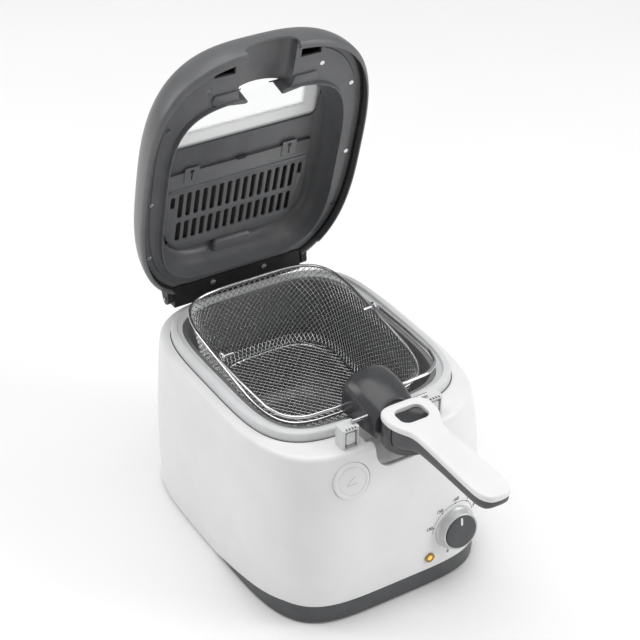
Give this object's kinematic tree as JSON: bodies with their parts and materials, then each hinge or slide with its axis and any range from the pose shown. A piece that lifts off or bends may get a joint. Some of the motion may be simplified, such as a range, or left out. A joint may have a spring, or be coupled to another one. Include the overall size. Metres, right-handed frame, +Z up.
{
  "type": "deep fryer",
  "caption": "Household deep fryer with a hinged lid held open, window and filter in the lid, wire basket with a folding handle, front dial, pilot lamp and lid button.",
  "frame": {"origin": "centre of the bounding box in plan, on the floor under the feet", "axes": "+Z up, front (dial and handle) towards -Y, +X to the right as seen from the front"},
  "size_m": [0.2776, 0.5512, 0.5513],
  "materials": {
    "white_plastic": "satin",
    "dark_plastic": "fine texture",
    "black_plastic": "matte",
    "foot_rubber": "matte",
    "steel": "bright",
    "collar_grey": "satin",
    "pot_coating": "non-stick coating",
    "bright_sheet": "mill",
    "cream_plastic": "satin",
    "copper_tone": "bright",
    "wire_sleeve": "matte",
    "lamp_ring": "dull",
    "amber_lens": "clear",
    "chrome": "polished",
    "lid_grey": "satin",
    "liner_grey": "satin",
    "seal_rubber": "matte",
    "window_glass": "clear",
    "filter_fabric": "matte",
    "button_grey": "satin",
    "dial_silver": "satin"
  },
  "bodies": {
    "base": {"outer_housing": "white_plastic", "base_tray": "dark_plastic", "rubber_feet": "foot_rubber", "base_screws": "steel", "cord_gland": "black_plastic", "rim_ring": "collar_grey", "fry_pot": "pot_coating", "heating_element": "steel", "heat_shield": "bright_sheet", "element_clips": "steel", "thermal_fuse": "bright_sheet", "terminal_block": "cream_plastic", "thermostat_body": "cream_plastic", "thermostat_bulb": "copper_tone", "capillary_tube": "copper_tone", "lead_wires": "wire_sleeve", "pilot_lamp_bezel": "lamp_ring", "pilot_lamp_lens": "amber_lens", "pilot_lamp": "cream_plastic", "latch_posts": "collar_grey", "hinge_base": "black_plastic", "hinge_screws": "chrome", "hinge_pin": "steel", "hinge_spring": "steel"},
    "lid": {"lid_shell": "lid_grey", "lid_inner_liner": "liner_grey", "lid_screws": "chrome", "lid_seal": "seal_rubber", "lid_window": "window_glass", "window_bezel": "dark_plastic", "filter_cover": "liner_grey", "filter_mat": "filter_fabric", "lid_hinge_knuckles": "black_plastic"},
    "basket": {"basket_mesh": "chrome", "basket_rim_wire": "chrome", "basket_foot_wire": "chrome", "pivot_eyes": "chrome"},
    "handle": {"handle_fork": "chrome", "handle_hub": "dark_plastic", "handle_lower_grip": "dark_plastic", "handle_cover": "white_plastic", "handle_screws": "steel"},
    "handle_button": {"handle_release_button": "button_grey", "handle_button_spring": "steel"},
    "peg_left": {"support_peg_left": "steel"},
    "peg_right": {"support_peg_right": "steel"},
    "dial": {"dial_skirt": "dial_silver", "dial_cap": "dark_plastic", "dial_pointer": "white_plastic", "thermostat_shaft": "steel"},
    "lid_button": {"lid_release_button": "white_plastic", "button_spring": "steel"},
    "latch_slide": {"latch_slide_bar": "steel", "latch_bolts": "dark_plastic", "latch_springs": "steel"}
  },
  "joints": [
    {"name": "lid_hinge", "type": "hinge", "parent": "base", "child": "lid", "pos_m": [0, 0.23826, 0.2231], "axis": [-1, 0, 0], "range_deg": [-70, 0], "stiffness_Nm_per_rad": 0.5, "springref_deg": 40.11},
    {"name": "basket_lift", "type": "slide", "parent": "base", "child": "basket", "axis": [0, 0, 1], "range_m": [0, 0.13]},
    {"name": "handle_fold", "type": "hinge", "parent": "basket", "child": "handle", "pos_m": [0, 0.09445, 0.229], "axis": [-1, 0, 0], "range_deg": [0, 90]},
    {"name": "handle_button_press", "type": "slide", "parent": "handle", "child": "handle_button", "axis": [0, 0, -1], "range_m": [0, 0.0025], "stiffness_N_per_m": 600, "springref_m": -0.001},
    {"name": "peg_left_slide", "type": "slide", "parent": "handle", "child": "peg_left", "axis": [1, 0, 0], "range_m": [0, 0.0072]},
    {"name": "peg_right_slide", "type": "slide", "parent": "handle", "child": "peg_right", "axis": [-1, 0, 0], "range_m": [0, 0.0072]},
    {"name": "dial_turn", "type": "hinge", "parent": "base", "child": "dial", "pos_m": [0.068, -0.11535, 0.072], "axis": [0, 0.9947, -0.1028], "range_deg": [-130, 130]},
    {"name": "lid_button_press", "type": "slide", "parent": "base", "child": "lid_button", "axis": [0.0685, 0.9792, -0.1908], "range_m": [0, 0.0035], "stiffness_N_per_m": 700, "springref_m": -0.001},
    {"name": "latch_slide_move", "type": "slide", "parent": "base", "child": "latch_slide", "axis": [0, 1, 0], "range_m": [0, 0.0031]}
  ],
  "couplings": [
    {"joint": "peg_left_slide", "follows": "handle_button_press", "ratio": 2.8},
    {"joint": "peg_right_slide", "follows": "handle_button_press", "ratio": 2.8},
    {"joint": "latch_slide_move", "follows": "lid_button_press", "ratio": 0.85}
  ]
}
